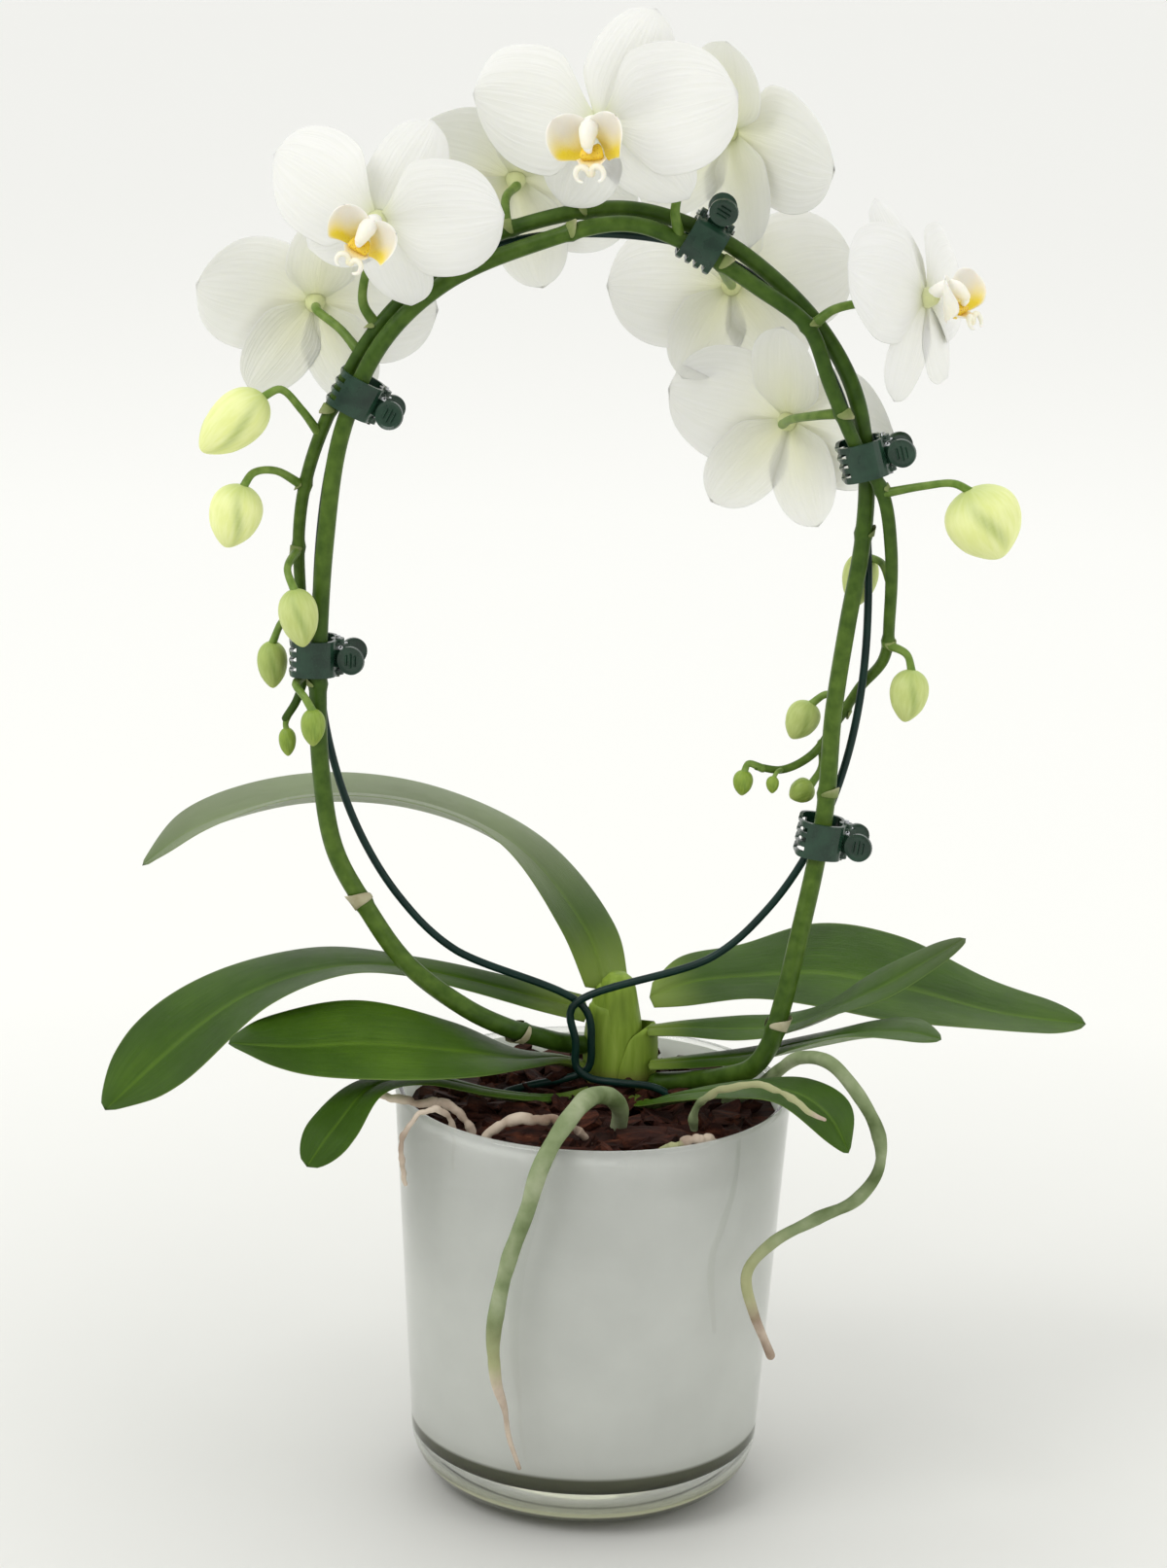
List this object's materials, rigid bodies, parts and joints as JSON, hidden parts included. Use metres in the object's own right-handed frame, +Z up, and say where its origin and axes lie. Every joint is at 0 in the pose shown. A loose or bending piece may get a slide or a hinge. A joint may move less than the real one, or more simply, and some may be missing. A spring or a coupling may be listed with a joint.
{
  "type": "potted orchid",
  "caption": "Moth orchid with flower spikes trained round a wire hoop and held by small claw clips, in a heavy clear glass pot filled with bark.",
  "frame": {"origin": "centre of the pot's foot, on the surface it stands on", "axes": "+Z up along the pot's axis; -Y is the plant's front, the side the two nearest flowers face; +X is the plant's right as seen from the front"},
  "size_m": [0.3555, 0.1663, 0.5247],
  "materials": {
    "pot_glass": "clear pressed glass with a faint green tint",
    "bark": "dry reddish-brown bark, rough",
    "hoop_wire": "dark green coated wire",
    "clip_plastic": "dark green moulded plastic, glossy",
    "spring_steel": "bright spring steel",
    "leaf": "waxy dark green leaf skin, half gloss",
    "stem": "smooth green stem skin",
    "root": "silvery green velamen, matt",
    "petal": "white petal, satin",
    "lip": "white and yellow lip, satin"
  },
  "bodies": {
    "plant": {"glass_pot": "pot_glass", "support_hoop": "hoop_wire", "bark_mix": "bark", "bark_chip_1": "bark", "bark_chip_2": "bark", "bark_chip_3": "bark", "bark_chip_4": "bark", "bark_chip_5": "bark", "bark_chip_6": "bark", "crown": "leaf", "leaf_upper_left": "leaf", "leaf_left": "leaf", "leaf_lower_left": "leaf", "leaf_lowest_left": "leaf", "leaf_right": "leaf", "leaf_right_raised": "leaf", "leaf_right_low": "leaf", "leaf_lowest_right": "leaf", "spike_left": "stem", "spike_right": "stem", "flower_1_petals": "petal", "flower_1_lip": "lip", "flower_2_petals": "petal", "flower_2_lip": "lip", "flower_3_petals": "petal", "flower_3_lip": "lip", "flower_4_petals": "petal", "flower_4_lip": "lip", "flower_5_petals": "petal", "flower_5_lip": "lip", "flower_6_petals": "petal", "flower_6_lip": "lip", "flower_7_petals": "petal", "flower_7_lip": "lip", "flower_8_petals": "petal", "flower_8_lip": "lip", "root_front": "root", "root_right": "root", "root_left_dry": "root", "root_left_thin": "root", "root_loop": "root", "root_over_rim": "root", "root_small": "root", "clip_1_back_jaw": "clip_plastic", "clip_1_spring_pin": "spring_steel", "clip_2_back_jaw": "clip_plastic", "clip_2_spring_pin": "spring_steel", "clip_3_back_jaw": "clip_plastic", "clip_3_spring_pin": "spring_steel", "clip_4_back_jaw": "clip_plastic", "clip_4_spring_pin": "spring_steel", "clip_5_back_jaw": "clip_plastic", "clip_5_spring_pin": "spring_steel"},
    "clip_1_jaw": {"clip_1_front_jaw": "clip_plastic"},
    "clip_2_jaw": {"clip_2_front_jaw": "clip_plastic"},
    "clip_3_jaw": {"clip_3_front_jaw": "clip_plastic"},
    "clip_4_jaw": {"clip_4_front_jaw": "clip_plastic"},
    "clip_5_jaw": {"clip_5_front_jaw": "clip_plastic"}
  },
  "joints": [
    {"name": "clip_1_hinge", "type": "hinge", "parent": "plant", "child": "clip_1_jaw", "pos_m": [-0.07973, 0.0018, 0.38655], "axis": [0.454, 0, 0.891], "range_deg": [0, 28], "stiffness_Nm_per_rad": 0.02},
    {"name": "clip_2_hinge", "type": "hinge", "parent": "plant", "child": "clip_2_jaw", "pos_m": [-0.0922, 0.0018, 0.299], "axis": [0, 0, 1], "range_deg": [0, 28], "stiffness_Nm_per_rad": 0.02},
    {"name": "clip_3_hinge", "type": "hinge", "parent": "plant", "child": "clip_3_jaw", "pos_m": [0.0328, 0.0018, 0.45158], "axis": [-0.866, 0, 0.5], "range_deg": [0, 28], "stiffness_Nm_per_rad": 0.02},
    {"name": "clip_4_hinge", "type": "hinge", "parent": "plant", "child": "clip_4_jaw", "pos_m": [0.09354, 0.0018, 0.37497], "axis": [-0.2588, 0, 0.9659], "range_deg": [0, 28], "stiffness_Nm_per_rad": 0.02},
    {"name": "clip_5_hinge", "type": "hinge", "parent": "plant", "child": "clip_5_jaw", "pos_m": [0.08473, 0.0042, 0.23744], "axis": [0.1392, 0, 0.9903], "range_deg": [0, 28], "stiffness_Nm_per_rad": 0.02}
  ]
}
